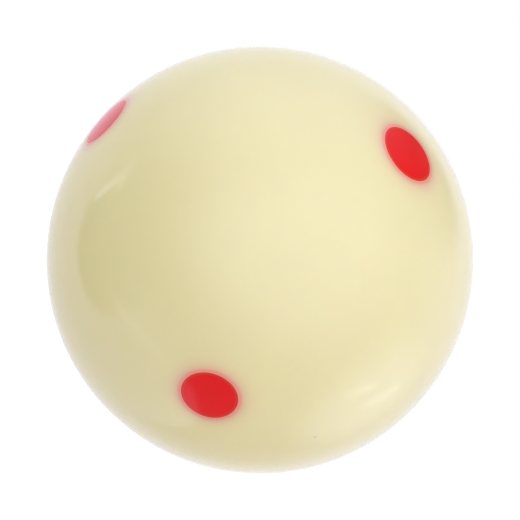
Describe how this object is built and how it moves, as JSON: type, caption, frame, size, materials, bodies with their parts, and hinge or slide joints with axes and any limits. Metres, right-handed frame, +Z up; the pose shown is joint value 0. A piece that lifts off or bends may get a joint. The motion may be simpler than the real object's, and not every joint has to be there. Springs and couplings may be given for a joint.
{
  "type": "cue ball",
  "caption": "Ivory pool cue ball of solid cast resin with flush red dots let into it on three perpendicular axes.",
  "frame": {"origin": "the centre of the ball", "axes": "+Z is up and makes the same angle with each of the three perpendicular dot axes, so three dots form an upper ring and three a lower ring; the front lower dot faces -Y"},
  "size_m": [0.0572, 0.0572, 0.0572],
  "materials": {
    "ivory_resin": "polished cast phenolic resin, slightly translucent cream",
    "red_resin": "polished cast phenolic resin, red, flush with the ball"
  },
  "bodies": {
    "root": {"ball_body": "ivory_resin", "dot_upper_front_right": "red_resin", "dot_upper_front_left": "red_resin", "dot_upper_rear": "red_resin", "dot_lower_front": "red_resin", "dot_lower_rear_right": "red_resin", "dot_lower_rear_left": "red_resin"}
  },
  "joints": []
}
